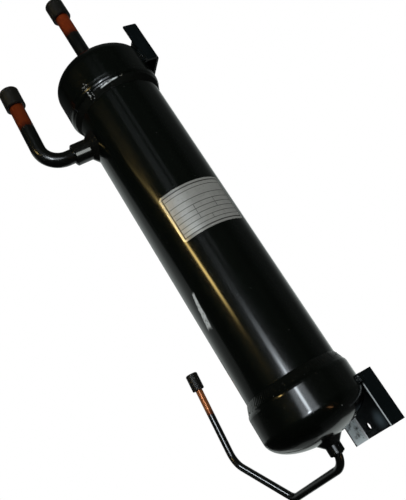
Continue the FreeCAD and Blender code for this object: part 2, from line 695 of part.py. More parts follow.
PIECES = {
    "shell_tube": make_shell_tube,
    "top_cap": make_top_cap,
    "bottom_cap": make_bottom_cap,
    "upper_bracket": make_upper_bracket,
    "lower_bracket": make_lower_bracket,
    "inlet_bushing": make_inlet_bushing,
    "inlet_tube": make_inlet_tube,
    "inlet_transit_cap": make_inlet_transit_cap,
    "outlet_bushing": make_outlet_bushing,
    "outlet_tube": make_outlet_tube,
    "outlet_transit_cap": make_outlet_transit_cap,
    "oil_return_bushing": make_oil_return_bushing,
    "oil_return_tube": make_oil_return_tube,
    "oil_return_transit_cap": make_oil_return_transit_cap,
    "data_plate": make_data_plate,
    "inlet_deflector": make_inlet_deflector,
    "screen_top_plate": make_screen_top_plate,
    "outlet_screen": make_outlet_screen,
    "screen_bottom_plate": make_screen_bottom_plate,
    "sump_baffle": make_sump_baffle,
    "sump_magnet": make_sump_magnet,
    "valve_body": make_valve_body,
    "valve_needle": make_valve_needle,
    "valve_yoke": make_valve_yoke,
    "arm_pin": make_arm_pin,
    "float_arm": make_float_arm,
    "float_ball": make_float_ball,
}


def main():
    os.makedirs("parts", exist_ok=True)
    for name, make in PIECES.items():
        shape = make().translated(V(0, -WALL_Y, 0))
        box = shape.BoundBox
        print(name, "solids", len(shape.Solids), "valid", shape.isValid(), "volume", round(shape.Volume),
              "z", round(box.ZMin, 1), round(box.ZMax, 1))
        shape.exportStep("parts/" + name + ".step")


main()
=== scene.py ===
import math
import random

import bmesh
import bpy
from mathutils import Matrix, Vector, noise


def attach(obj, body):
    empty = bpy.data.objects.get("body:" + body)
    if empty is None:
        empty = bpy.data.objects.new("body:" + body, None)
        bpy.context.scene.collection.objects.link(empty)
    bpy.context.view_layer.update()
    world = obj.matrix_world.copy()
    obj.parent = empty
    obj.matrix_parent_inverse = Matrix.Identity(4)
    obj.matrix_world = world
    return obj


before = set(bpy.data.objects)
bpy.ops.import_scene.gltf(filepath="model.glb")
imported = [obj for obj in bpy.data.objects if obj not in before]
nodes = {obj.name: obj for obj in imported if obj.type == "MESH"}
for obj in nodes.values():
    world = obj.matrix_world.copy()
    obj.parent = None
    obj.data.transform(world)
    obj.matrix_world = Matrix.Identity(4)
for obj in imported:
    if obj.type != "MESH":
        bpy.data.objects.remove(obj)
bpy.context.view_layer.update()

# Upright refrigerant oil separator. Everything is in metres, in the frame of the CAD part:
# origin in the middle of the four wall bolts, on the wall face, +Y into the wall, +Z up.

MM = 0.001

# Sizes that the pieces here share with the solids
AXIS_Y = -68.05 * MM
BODY_R = 57.15 * MM
CAP_R = 63.45 * MM
CAP_CROWN = 33 * MM
TOP_TOE_Z = 203 * MM
BOTTOM_TOE_Z = -203 * MM
TOP_KNUCKLE_Z = 256 * MM
BOTTOM_KNUCKLE_Z = -246.5 * MM
WELD_LENGTH = 17 * MM
GAS_BUSHING_R = 14 * MM
GAS_TUBE_R = 9.525 * MM
OIL_BUSHING_R = 9 * MM
OIL_TUBE_R = 4.7625 * MM
INLET_Z = 171.3 * MM
INLET_AZIMUTH = -99.6
INLET_BUSHING_REACH = 83.7 * MM
OUTLET_BUSHING_TOP_Z = 304 * MM
OIL_BUSHING_FOOT_Z = -296 * MM
BRACKET_HALF = 45.5 * MM
BRACKET_FRONT_Y = -20.6 * MM
BRACKET_SHEET = 3 * MM
PLATE_MIDDLE_Z = 11.6 * MM
PLATE_HEIGHT = 62.5 * MM
PLATE_AZIMUTH = -2.3
PLATE_SPAN = 87.0
OUTLET_PAINT_EDGE_Z = 345.5 * MM
INLET_PAINT_EDGE_Z = 234.5 * MM
OIL_PAINT_EDGE_Z = -170.7 * MM
BRACKET_WELD_END_Z = 237.5 * MM

# How far a shoulder weld stands out, and the way it faces: mostly outward, a little to its toe
WELD_PROUD = 0.2 * MM
WELD_OUT = 0.93
WELD_TO_TOE = 0.37

UP = Vector((0, 0, 1))
DEGREES = 180 / math.pi


def outward(degrees):
    """Level direction at an angle from +X."""
    a = math.radians(degrees)
    return Vector((math.cos(a), math.sin(a), 0))


# Shader maths

class Value:
    """A shader socket that takes Python's operators, each of which adds a Math node."""

    def __init__(self, shader, socket):
        self.shader = shader
        self.socket = socket

    def out(self, name):
        """Another output of the same node."""
        return Value(self.shader, self.socket.node.outputs[name])

    def __add__(self, other):
        return self.shader.math("ADD", self, other)

    def __radd__(self, other):
        return self.shader.math("ADD", other, self)

    def __sub__(self, other):
        return self.shader.math("SUBTRACT", self, other)

    def __rsub__(self, other):
        return self.shader.math("SUBTRACT", other, self)

    def __mul__(self, other):
        return self.shader.math("MULTIPLY", self, other)

    def __rmul__(self, other):
        return self.shader.math("MULTIPLY", other, self)

    def __truediv__(self, other):
        return self.shader.math("DIVIDE", self, other)

    def __abs__(self):
        return self.shader.math("ABSOLUTE", self)


class Shader:
    """The node tree of a material or of the world."""

    def __init__(self, owner):
        owner.use_nodes = True
        self.owner = owner
        self.tree = owner.node_tree
        self.tree.nodes.clear()

    def node(self, kind, settings=None, sockets=None, out=0):
        """Adds a node: its settings first, then the values or links of its sockets."""
        made = self.tree.nodes.new("ShaderNode" + kind)
        for name, value in (settings or {}).items():
            if name == "stops":
                elements = made.color_ramp.elements
                elements.remove(elements[1])
                elements[0].position = value[0][0]
                elements[0].color = value[0][1]
                for place, colour in value[1:]:
                    elements.new(place).color = colour
            else:
                setattr(made, name, value)
        for name, value in (sockets or {}).items():
            if isinstance(value, Value):
                self.tree.links.new(value.socket, made.inputs[name])
            else:
                made.inputs[name].default_value = value
        if made.outputs:
            return Value(self, made.outputs[out])
        return None

    def math(self, operation, *values):
        return self.node("Math", {"operation": operation}, dict(enumerate(values)))

    def most(self, a, b):
        return self.math("MAXIMUM", a, b)

    def length(self, a, b):
        """Length of a step that goes a one way and b across it."""
        return self.math("SQRT", a * a + b * b)

    def step(self, value, low, high):
        """0 below low, 1 above high, smooth between; low above high turns it round."""
        if low > high:
            return 1 - self.step(value, high, low)
        sockets = {"Value": value, "From Min": low, "From Max": high, "To Min": 0.0, "To Max": 1.0}
        return self.node("MapRange", {"interpolation_type": "SMOOTHSTEP"}, sockets)

    def band(self, value, low, high, soft):
        """1 between low and high, with soft edges."""
        return self.step(value, low - soft, low + soft) * self.step(value, high + soft, high - soft)

    def mix(self, factor, a, b):
        """Colour a where the factor is 0, b where it is 1."""
        return self.node("Mix", {"data_type": "RGBA"}, {0: factor, 6: a, 7: b}, 2)

    def point(self):
        """The surface point in the frame of the part."""
        return self.node("TexCoord", out=3)

    def place(self):
        """The surface point and its x, y and z."""
        point = self.point()
        parts = self.node("SeparateXYZ", None, {0: point})
        return point, parts, parts.out("Y"), parts.out("Z")

    def stretched(self, point, x, y, z):
        """A point with its axes scaled, for noise that is longer one way."""
        return self.node("VectorMath", {"operation": "MULTIPLY"}, {0: point, 1: (x, y, z)})

    def noise(self, point, size, detail=2.0, rough=0.5):
        """Noise from 0 to 1 whose blobs are about size wide."""
        sockets = {"Vector": point, "Scale": 1 / size, "Detail": detail, "Roughness": rough}
        return self.node("TexNoise", None, sockets)

    def cells(self, point, size):
        """Distance to the nearest of a scatter of points about size apart, over that size."""
        return self.node("TexVoronoi", None, {"Vector": point, "Scale": 1 / size})

    def bump(self, height, depth, normal=None):
        sockets = {"Height": height, "Distance": depth}
        if normal is not None:
            sockets["Normal"] = normal
        return self.node("Bump", None, sockets)

    def surface(self, **sockets):
        """Principled surface. Names are its sockets' with _ for a space."""
        named = {name.replace("_", " "): value for name, value in sockets.items()}
        self.output(self.node("BsdfPrincipled", None, named))
        return self.owner

    def enamel(self, base, rough, gloss, bump):
        """Gloss paint: a hazy lobe under a sharp one."""
        return self.surface(Base_Color=base, Roughness=rough, IOR=1.5, Specular_IOR_Level=0.12,
                            Coat_Weight=gloss, Coat_Roughness=0.10, Normal=bump)

    def output(self, shader, kind="OutputMaterial"):
        self.node(kind, None, {"Surface": shader})


def material(name):
    return Shader(bpy.data.materials.new(name))


def grey(level):
    return (level, level, level, 1.0)


# Finishes

def peel(s, point):
    """Faint orange peel and runs of brushed-on gloss paint."""
    fine = s.noise(point, 5 * MM, 1.5)
    broad = s.noise(s.stretched(point, 1, 1, 0.35), 38 * MM, 1.0)
    return s.bump(fine * 0.35 + broad * 2.6, 0.00002)


def azimuth_of(s, x, y):
    """Degrees round the vessel's axis from +X."""
    return s.math("ARCTAN2", y - AXIS_Y, x) * DEGREES


def vessel_paint():
    """Black gloss paint on the pipe, with dusty specks, faint rubs and one pale scuff."""
    s = material("vessel_black_paint")
    point, x, y, z = s.place()
    azimuth = azimuth_of(s, x, y)
    smudge = s.noise(s.stretched(point, 1, 1, 0.3), 26 * MM, 3.0, 0.6)
    speck = s.step(s.cells(point, 9 * MM), 0.09, 0.04) * s.step(s.noise(point, 30 * MM), 0.55, 0.62)
    ragged = (s.noise(point, 7 * MM, 3.0) - 0.5) * 7
    along = (z + 92 * MM) / (23 * MM)
    middle = azimuth + 77.0 - along * 3.4 + ragged * 0.5
    scuff = s.step(abs(middle) + along * 1.4, 4.4, 2.6) * s.step(abs(along) + ragged * 0.06, 1.0, 0.8)
    scuff = scuff * s.step(s.noise(point, 2.6 * MM, 2.0), 0.30, 0.45)
    base = s.mix(smudge, (0.0002, 0.0009, 0.0003, 1), (0.0012, 0.0019, 0.0012, 1))
    base = s.mix(speck * 0.4, base, (0.05, 0.05, 0.048, 1))
    base = s.mix(scuff, base, (0.52, 0.54, 0.54, 1))
    return s.enamel(base, 0.26 + smudge * 0.08 + scuff * 0.3, 1 - scuff, peel(s, point))


def cap_paint():
    """The same paint on the pressed end caps, a little coarser, over the top cap's rolled lower edge."""
    s = material("cap_black_paint")
    point, _, _, z = s.place()
    smudge = s.noise(point, 18 * MM, 3.0, 0.6)
    speck = s.step(s.cells(point, 7 * MM), 0.10, 0.05) * s.step(s.noise(point, 22 * MM), 0.56, 0.64)
    base = s.mix(smudge, (0.0003, 0.0010, 0.0004, 1), (0.0014, 0.0020, 0.0013, 1))
    base = s.mix(speck * 0.4, base, (0.06, 0.06, 0.055, 1))
    rolled = s.bump(s.step(z, 219 * MM, 224.5 * MM), 0.0011, peel(s, point))
    return s.enamel(base, 0.26 + smudge * 0.08, 1.0, rolled)


def bracket_paint(name, dust_and_sheen):
    """Thin black paint on folded sheet; the second argument sets how strongly its painted light shows.

    That light is a painted reflection inside the far flange, a painted highlight along the fold,
    a painted highlight on the near flange's free edge and a painted sheen on the web.
    """
    s = material(name)
    point, x, y, z = s.place()
    rub = s.noise(s.stretched(point, 1, 1, 0.25), 9 * MM, 4.0, 0.65)
    blotch = s.noise(point, 12 * MM, 3.0, 0.6)
    base = s.mix(rub, (0.0012, 0.0022, 0.0024, 1), (0.0040, 0.0056, 0.0064, 1))
    # Painted reflection: a pale blotchy film on the far flange's inner face, standing in for the bright
    # surroundings it mirrors.
    far_flange_reflection = s.band(x, -43.0 * MM, -41.8 * MM, 0.3 * MM) * s.step(y, -1 * MM, -3 * MM)
    base = s.mix(far_flange_reflection * dust_and_sheen * s.step(blotch, 0.24, 0.46), base, (0.84, 0.95, 1.0, 1))
    # Painted highlight: a pale line along the far flange's fold.
    fold = s.step(x, -41.0 * MM, -41.6 * MM) * s.band(y, -5.6 * MM, -2.9 * MM, 0.4 * MM) * dust_and_sheen
    base = s.mix(fold, base, (0.80, 0.84, 0.88, 1))
    # Painted highlight: a pale line along the near flange's free edge, below the cap.
    free_edge_highlight = s.step(y, BRACKET_FRONT_Y + 0.5 * MM, BRACKET_FRONT_Y + 0.1 * MM)
    free_edge_highlight = free_edge_highlight * s.step(x, 43.2 * MM, 44.0 * MM) * s.step(z, -248 * MM, -252 * MM)
    base = s.mix(free_edge_highlight * dust_and_sheen * s.step(rub, 0.25, 0.45), base, (0.55, 0.60, 0.64, 1))
    # Painted sheen: a soft blue-grey patch low on the web, standing in for a highlight.
    patch = s.step(s.length(x - 2 * MM, z + 288 * MM), 16 * MM, 0.0)
    base = s.mix(patch * dust_and_sheen * s.step(y, -4 * MM, -2.5 * MM) * 0.8, base, (0.12, 0.165, 0.20, 1))
    rough = 0.30 + rub * 0.16
    bump = s.bump(s.noise(point, 3.5 * MM, 2.0), 0.00004)
    return s.surface(Base_Color=base, Roughness=rough, IOR=1.5, Specular_IOR_Level=0.10, Normal=bump)


def weld_paint():
    """Uneven gloss paint over weld metal, with a painted highlight in a line across the top weld and dull at
    its foot.
    """
    s = material("weld_black_paint")
    point, x, y, z = s.place()
    lump = s.noise(point, 2.2 * MM, 3.0, 0.6)
    azimuth = azimuth_of(s, x, y)
    base = s.mix(lump, (0.0006, 0.0012, 0.0007, 1), (0.0030, 0.0034, 0.0026, 1))
    # Painted highlight: a pale line across the top weld on the lit side, broken up by noise.
    leaned = z - (azimuth + 20) * (0.1 * MM)
    weld_line_highlight = s.band(azimuth, -31, -9, 2) * s.band(leaned, 210.2 * MM, 212.0 * MM, 0.5 * MM)
    weld_line_highlight = weld_line_highlight * s.step(s.noise(point, 3 * MM, 2.0), 0.35, 0.50)
    base = s.mix(weld_line_highlight * 0.9, base, (0.62, 0.66, 0.68, 1))
    ragged = (s.noise(point, 4 * MM, 2.0) - 0.5) * (3 * MM)
    dull = s.band(z + ragged, 198 * MM, 212.5 * MM, 0.8 * MM)
    return s.enamel(base, 0.26 + lump * 0.10 + dull * 0.4, 1 - dull, s.bump(lump, 0.00010))


def bushing_paint():
    """Turned steel socket under black paint."""
    s = material("bushing_black_paint")
    point = s.point()
    lump = s.noise(point, 4 * MM, 2.0)
    base = s.mix(lump, (0.0014, 0.0016, 0.0013, 1), (0.0040, 0.0040, 0.0034, 1))
    return s.enamel(base, 0.26 + lump * 0.08, 1.0, s.bump(lump, 0.00005))


def tube_finish(name, edge_z, tarnished, clean):
    """Copper tube with black paint up to a ragged edge at a height, and bare bright copper above it."""
    s = material(name)
    point, _, _, z = s.place()
    ragged = (s.noise(point, 5 * MM, 3.0, 0.6) - 0.5) * (9 * MM)
    fringe = z + ragged - edge_z
    bare = s.step(fringe, -0.4 * MM, 0.6 * MM)
    stain = s.step(fringe, 9 * MM, 1 * MM)
    mottle = s.noise(s.stretched(point, 1, 1, 0.5), 6 * MM, 4.0, 0.65)
    copper = s.mix(mottle, tarnished, clean)
    copper = s.mix(stain * 0.75, copper, (0.05, 0.008, 0.004, 1))
    spot = s.step(s.cells(point, 4 * MM), 0.22, 0.10) * s.step(mottle, 0.5, 0.6)
    copper = s.mix(spot * 0.7, copper, (0.05, 0.012, 0.008, 1))
    black = s.mix(mottle, (0.0012, 0.0016, 0.0012, 1), (0.0032, 0.0034, 0.0028, 1))
    base = s.mix(bare, black, copper)
    rough = 0.26 + mottle * 0.08
    bump = s.bump(s.noise(point, 9 * MM) * 0.4 + bare * -0.8, 0.00002)
    return s.surface(Base_Color=base, Roughness=rough, Metallic=bare * 0.55, IOR=1.5, Normal=bump,
                     Specular_IOR_Level=0.3, Coat_Weight=1 - bare, Coat_Roughness=0.09)


def cap_plastic():
    """Matt black moulded plastic of the push-on caps."""
    s = material("transit_cap_plastic")
    point = s.point()
    grain = s.noise(point, 0.7 * MM, 2.0)
    dust_and_sheen = s.noise(point, 9 * MM, 3.0, 0.6)
    base = s.mix(dust_and_sheen, (0.0030, 0.0028, 0.0022, 1), (0.0082, 0.0077, 0.0062, 1))
    rough = 0.42 + grain * 0.16
    return s.surface(Base_Color=base, Roughness=rough, IOR=1.45, Normal=s.bump(grain, 0.00004))


def plate_finish():
    """Etched aluminium plate with a dark line inside its edge, blank ruled rows and some grime."""
    s = material("plate_etched_aluminium")
    point, x, y, z = s.place()
    round_mm = BODY_R / MM
    across = s.math("ARCTAN2", y - AXIS_Y, x) * round_mm - math.radians(PLATE_AZIMUTH) * round_mm
    up = (z - PLATE_MIDDLE_Z) / MM
    half_w = math.radians(PLATE_SPAN) * BODY_R / MM / 2
    half_h = PLATE_HEIGHT / MM / 2
    inset = s.most(abs(across) - half_w, abs(up) - half_h)
    inside = s.step(inset, -4.2, -4.5)
    rows = [22.5, 11.0, 3.0, -3.5, -10.0, -16.5, -22.5]
    uprights = [(-12.0, -16.5, 3.0), (14.0, -10.0, 3.0), (2.0, -22.5, -16.5)]
    ink = s.band(inset, -4.1, -2.8, 0.2)
    for row in rows:
        ink = s.most(ink, s.band(up, row - 0.35, row + 0.35, 0.15) * inside)
    for middle, low, high in uprights:
        line = s.band(across, middle - 0.25, middle + 0.25, 0.12) * s.band(up, low, high, 0.1)
        ink = s.most(ink, line)
    brushed = s.noise(s.stretched(point, 1, 1, 14), 6 * MM, 3.0, 0.6)
    tarnish = s.noise(point, 14 * MM, 4.0, 0.6)
    grime = s.noise(point, 2.2 * MM, 3.0, 0.7)
    metal = s.mix(tarnish, (0.40, 0.40, 0.385, 1), (0.56, 0.56, 0.535, 1))
    metal = s.mix(brushed * 0.25, metal, (0.30, 0.30, 0.29, 1))
    metal = s.mix(s.step(grime, 0.52, 0.70) * 0.35 * inside, metal, (0.14, 0.135, 0.12, 1))
    base = s.mix(ink * 0.95, metal, (0.012, 0.011, 0.009, 1))
    rough = 0.20 + inside * 0.13 + tarnish * 0.10 + ink * 0.1
    bump = s.bump(brushed * 0.4 - ink, 0.00004)
    return s.surface(Base_Color=base, Roughness=rough, Metallic=0.6, IOR=1.5, Normal=bump)


def bare_metal(name, dark, light, size, rough, metallic=0.9):
    """Plain metal with an oily mottle."""
    s = material(name)
    point = s.point()
    mottle = s.noise(point, size, 4.0, 0.6)
    base = s.mix(mottle, dark, light)
    bump = s.bump(s.noise(point, size / 6, 2.0), 0.00003)
    return s.surface(Base_Color=base, Roughness=rough + mottle * 0.15, Metallic=metallic, Normal=bump)


# Light, floor and camera

def studio():
    """White behind the object and below it; its reflections show a dim room and a lit backdrop."""
    world = bpy.data.worlds.new("studio")
    bpy.context.scene.world = world
    s = Shader(world)
    direction = s.node("TexCoord", out=0)
    x = s.node("SeparateXYZ", None, {0: direction})
    y = x.out("Y")
    z = x.out("Z")
    height = s.math("ARCSINE", z) * DEGREES

    def turn(azimuth):
        """Degrees round from an azimuth, from -180 to 180."""
        a = math.radians(azimuth)
        aside = y * math.cos(a) - x * math.sin(a)
        ahead = x * math.cos(a) + y * math.sin(a)
        return s.math("ARCTAN2", aside, ahead) * DEGREES

    def levels(value, stops):
        """Brightness read from stops of degrees and brightness."""
        low = stops[0][0]
        high = stops[-1][0]
        peak = max(level for _, level in stops)
        ramp = [((at - low) / (high - low), grey(level / peak)) for at, level in stops]
        share = s.node("MapRange", None, {"Value": value, "From Min": low, "From Max": high})
        return s.node("ValToRGB", {"stops": ramp}, {0: share}) * peak

    # The dim room, brighter in front of the vessel
    front = turn(-25)
    side = turn(170)
    room = 0.016 + 0.015 * s.step(abs(front), 66, 54)
    room = room * levels(height, ((-90, 0.4), (-6, 0.4), (2, 1.0), (32, 1.0), (37, 0.6), (90, 0.6)))

    # The lit backdrop behind the vessel, with a curved edge, and the lit ground below it
    edge = 70 - s.math("POWER", s.most(height - 11, 0.0) / 19, 2.0) * 18
    edge = edge - s.most(9 - height, 0.0) * 3.75
    backdrop = levels(side, ((-76, 0.0), (-58, 0.13), (-45, 0.28), (-35, 0.55), (-25, 0.3), (-18, 0.17),
                             (-2, 0.18), (6, 0.40), (40, 0.36), (52, 0.22), (80, 0.20)))
    backdrop = backdrop * s.step(side - edge, 1.5, -1.5) * s.step(height, 0.0, 3.0)
    backdrop = backdrop * s.step(height + side / 36, 33, 31)
    backdrop = backdrop * (1 - 0.45 * s.step(side, 20, 40) * s.step(height, 18, 8))
    backdrop = backdrop * (1 - 0.45 * s.step(side, -30, -40) * s.step(height, 10, 18))
    backdrop = backdrop * (1 - 0.4 * s.step(side, -12, -4) * s.step(height, 8, 5))
    under = s.band(side, -40, 8, 3) * s.band(height, -50, 0, 2) * 0.6
    under = under * (1 - 0.67 * s.step(height, -28, -32) * s.step(side, -12, -8))
    # The window, narrower higher up, with two bright cores and a dim streak beside it
    spread = levels(height, (
        (-90, 22), (2, 22), (5.6, 19), (7, 9.5), (8, 8.5), (12, 5.5), (16, 8), (24, 10), (90, 10)))
    window = s.step(abs(front + 2) / spread, 1.0, 0.6) * levels(height, (
        (-16, 0.0), (-12, 2.2), (-4, 2.8), (2, 2.5), (5.5, 2.4), (6.8, 4.4), (8, 3.4), (10, 2.0),
        (12, 0.9), (14, 0.2), (18, 0.10), (24, 0.18), (30, 0.13), (35, 0.08), (38, 0.0)))
    upper_core = s.length(front + 3, height - 5)
    lower_core = s.length(front + 5, height + 5)
    window = window + s.step(upper_core, 4.5, 1.0) * 16 + s.step(lower_core, 5.0, 2.0) * 26
    window = window + s.step(abs(turn(-10)), 5, 3) * s.band(height, 17, 36, 2) * 0.13
    neutral = room + backdrop + under * 0.8 + s.step(front, 60, 95) * 0.03

    # A leaning golden streak, and an orange spot low down
    golden = front + 22 + s.most(height - 24, 0.0) * 2.5 + height * 0.833
    golden = s.step(abs(golden), 4.2, 1.2) * levels(height, (
        (0, 0.0), (12.5, 0.0), (14, 3.5), (16.5, 15.0), (19, 14.0), (22, 10.0), (24, 7.0),
        (25, 2.0), (28, 0.8), (29, 0.0), (90, 0.0)))
    slant = turn(16) + (height + 40.5) * 1.13
    spot = s.step(abs(slant), 2.4, 1.0) * s.band(height, -47, -34, 1.5) * 2.5

    def light(colour, share):
        return s.node("VectorMath", {"operation": "SCALE"}, {0: colour, "Scale": share})

    total = light((0.92, 1.0, 0.97), neutral)
    tinted = [((0.92, 1.0, 1.07), window), ((1.25, 0.90, 0.32), golden), ((1.6, 0.75, 0.3), spot)]
    for colour, share in tinted:
        total = s.node("VectorMath", {"operation": "ADD"}, {0: total, 1: light(colour, share)})
    rays = s.node("LightPath")
    plain = s.node("Background", None, {"Color": (0.97, 0.985, 1.0, 1), "Strength": 0.25})
    shown = s.node("Background", None, {"Color": grey(1.0), "Strength": 1.0})
    mirrored = s.node("Background", None, {"Color": total, "Strength": 1.0})
    seen = s.most(rays.out("Is Glossy Ray"), rays.out("Is Transmission Ray"))
    result = s.node("MixShader", None, {0: seen, 1: plain, 2: mirrored})
    result = s.node("MixShader", None, {0: rays.out("Is Camera Ray"), 1: result, 2: shown})
    s.output(result, "OutputWorld")


def stand(made, place, right, top, back):
    """Places a lamp or the camera, which looks away from its back."""
    made.matrix_world = Matrix.Translation(place) @ Matrix((right, top, back)).transposed().to_4x4()


def area_lamp(name, place, aim, across, width, height, power, colour):
    """Rectangle lamp at a place, aimed at a point, with its width along a direction."""
    lamp = bpy.data.lights.new(name, "AREA")
    lamp.shape = "RECTANGLE"
    lamp.size = width
    lamp.size_y = height
    lamp.energy = power
    lamp.color = colour
    box = bpy.data.objects.new(name, lamp)
    bpy.context.scene.collection.objects.link(box)
    back = (place - aim).normalized()
    rise = back.cross(across).normalized()
    stand(box, place, rise.cross(back), rise, back)
    box.visible_camera = False
    return box


def light_only(lamp, name):
    """Lets a lamp light one of the solids and nothing else."""
    lit = bpy.data.collections.new(name + "_lit")
    lit.objects.link(nodes[name])
    lamp.light_linking.receiver_collection = lit


def lamps():
    """Softbox for the matt light, and two lamps that each draw a highlight on one solid alone.

    Those two stand where their solid mirrors the camera's view.
    """
    middle = Vector((0, AXIS_Y, 0))
    key = middle + outward(-22) * 2.8 + UP * 1.1
    soft = area_lamp("key_softbox", key, middle, outward(68), 1.2, 1.2, 62.0, (0.97, 1.0, 0.96))
    soft.visible_glossy = False
    run = Vector((-150 * MM, -105 * MM, -270 * MM))
    above = run + Vector((0.0764, -0.5424, 0.8364)) * 1.44
    along_run = Vector((-0.946, 0.224, 0.232))
    streak = area_lamp("oil_line_lamp", above, run, along_run, 0.30, 0.20, 4.4, (0.86, 0.93, 1.0))
    light_only(streak, "oil_return_tube")
    socket = middle + UP * INLET_Z + outward(INLET_AZIMUTH) * 70 * MM
    low = socket + Vector((0.854, 0.037, -0.519)) * 0.8
    along_inlet = outward(INLET_AZIMUTH)
    patch = area_lamp("inlet_bushing_lamp", low, socket, along_inlet, 0.20, 0.42, 1.5, (0.95, 1.0, 0.97))
    light_only(patch, "inlet_bushing")


def floor():
    """Plain pale floor well below the wall-hung vessel."""
    mesh = bpy.data.meshes.new("floor")
    bm = bmesh.new()
    bmesh.ops.create_circle(bm, cap_ends=True, radius=2.4, segments=96)
    bm.to_mesh(mesh)
    bm.free()
    disc = bpy.data.objects.new("floor", mesh)
    bpy.context.scene.collection.objects.link(disc)
    disc.location = (0, 0, -0.80)
    disc.visible_glossy = False
    s = material("pale_floor")
    tone = s.noise(s.point(), 0.4)
    matt = s.node("BsdfDiffuse", None, {"Color": s.mix(tone, grey(0.80), grey(0.83))})
    rays = s.node("LightPath")
    glow = s.node("Emission", None, {"Color": grey(1.0), "Strength": 0.42})
    lit = s.node("AddShader", None, {0: matt, 1: glow})
    s.output(s.node("MixShader", None, {0: rays.out("Is Camera Ray"), 1: matt, 2: lit}))
    mesh.materials.append(s.owner)


def camera():
    """The photograph's view, from below and to one side."""
    data = bpy.data.cameras.new("camera")
    data.sensor_fit = "AUTO"
    data.sensor_width = 36.0
    data.lens = 49.5
    eye = bpy.data.objects.new("camera", data)
    bpy.context.scene.collection.objects.link(eye)
    place = Vector((0.6971, -0.4187, -0.2912))
    ahead = Vector((-0.84661, 0.41783, 0.32965))
    right = Vector((0.21643, 0.83615, -0.50400)).normalized()
    back = -ahead.normalized()
    top = back.cross(right).normalized()
    stand(eye, place, top.cross(back), top, back)
    bpy.context.scene.camera = eye


# Mesh helpers

def piece(name, bm, finish, body="vessel"):
    """Object from a bmesh that rides with a body."""
    bmesh.ops.recalc_face_normals(bm, faces=bm.faces)
    for face in bm.faces:
        face.smooth = True
    mesh = bpy.data.meshes.new(name)
    bm.to_mesh(mesh)
    bm.free()
    mesh.materials.append(finish)
    made = bpy.data.objects.new(name, mesh)
    bpy.context.scene.collection.objects.link(made)
    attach(made, body)
    return made


def skin(bm, rings, closed):
    """Faces between rings of vertices; an open run gets its ends filled."""
    count = len(rings[0])
    last = len(rings) if closed else len(rings) - 1
    for i in range(last):
        here = rings[i]
        there = rings[(i + 1) % len(rings)]
        for j in range(count):
            k = (j + 1) % count
            bm.faces.new((here[j], here[k], there[k], there[j]))
    if not closed:
        bm.faces.new(rings[0])
        bm.faces.new(rings[-1])


def ripple(distance, pitch, across):
    """Height from 0 to 1 of the crescents that a weld pool leaves, a distance along the weld."""
    phase = (distance / pitch - 0.55 * across * across) % 1.0
    return 1 - phase * phase


def weld_rise(share):
    """How far a shoulder weld has risen from the pipe to the cap, a share of its length from the toe."""
    return 1 - (1 - min(max(share, 0.0), 1.0)) ** 1.2


def shoulder_weld(name, toe_z, side, finish):
    """Rippled fillet weld between the pipe and an end cap; side is +1 at the top and -1 below."""
    bm = bmesh.new()
    around = 900
    across = 17
    pitch = 3.1 * MM
    tuck = 0.7 * MM
    reach = 17.5 * MM
    inside = BODY_R - 0.5 * MM
    rings = []
    for i in range(around):
        angle = 2 * math.pi * i / around
        unit = Vector((math.cos(angle), math.sin(angle), 0))
        distance = angle * BODY_R
        wander = noise.noise(unit * 5.0 + Vector((0, 0, side))) * 0.7 * MM
        ring = []
        for j in range(across):
            t = j / (across - 1)
            h = t * reach - tuck
            share = min(max(h / WELD_LENGTH, 0.0), 1.0)
            r = BODY_R - 0.12 * MM + (CAP_R - BODY_R) * weld_rise(share)
            fade = min(1.0, 9 * t * (1 - t)) * (1 - share) ** 0.7
            wave = ripple(distance + wander * 3, pitch, 2 * t - 1) * 0.26 * MM * fade
            lump = noise.noise(unit * 40 + Vector((0, 0, t))) * 0.14 * MM * fade
            r += (wave + lump) * WELD_OUT + WELD_PROUD * fade
            h += wander * (1 - t) - (wave + lump) * WELD_TO_TOE
            ring.append(bm.verts.new(unit * r + Vector((0, AXIS_Y, toe_z + side * h))))
        ring.append(bm.verts.new(unit * inside + Vector((0, AXIS_Y, toe_z + side * 12 * MM))))
        rings.append(ring)
    skin(bm, rings, True)
    return piece(name, bm, finish)


def bead(name, points, normals, radius, finish, pitch, closed, seed):
    """Rippled weld bead along points, standing out along the normals."""
    bm = bmesh.new()
    sides = 14
    flat = 0.8
    rings = []
    distance = 0.0
    count = len(points)
    for i, (point, normal) in enumerate(zip(points, normals)):
        ahead = points[(i + 1) % count] if closed else points[min(i + 1, count - 1)]
        behind = points[i - 1] if closed or i else points[0]
        along = (ahead - behind).normalized()
        side = along.cross(normal).normalized()
        out = side.cross(along).normalized()
        if i:
            distance += (point - points[i - 1]).length
        taper = 1.0
        if not closed:
            edge = min(i, count - 1 - i) / 4
            taper = min(1.0, 0.35 + 0.65 * math.sqrt(min(edge, 1.0)))
        ring = []
        for j in range(sides):
            a = 2 * math.pi * j / sides
            u = math.cos(a)
            wave = ripple(distance, pitch, u) * 0.10
            lump = noise.noise(point * 160 + Vector((seed, u, 0))) * 0.12
            r = radius * taper * (0.94 + wave + lump)
            ring.append(bm.verts.new(point + side * (u * r) + out * (math.sin(a) * r * flat)))
        rings.append(ring)
    skin(bm, rings, closed)
    return piece(name, bm, finish)


def bushing_weld(name, base, along, reach, radius, thick, finish, seed):
    """Bead round a bushing; reach(side) gives how far out the vessel's skin is at that side of it."""
    if abs(along.z) > 0.9:
        first = Vector((1, 0, 0))
    else:
        first = along.cross(UP).normalized()
    second = along.cross(first).normalized()
    points = []
    normals = []
    steps = 120
    for i in range(steps):
        a = 2 * math.pi * i / steps
        spoke = first * math.cos(a) + second * math.sin(a)
        points.append(base + spoke * radius + along * reach(spoke * radius))
        normals.append((spoke + along).normalized())
    return bead(name, points, normals, thick, finish, 2.4 * MM, True, seed)


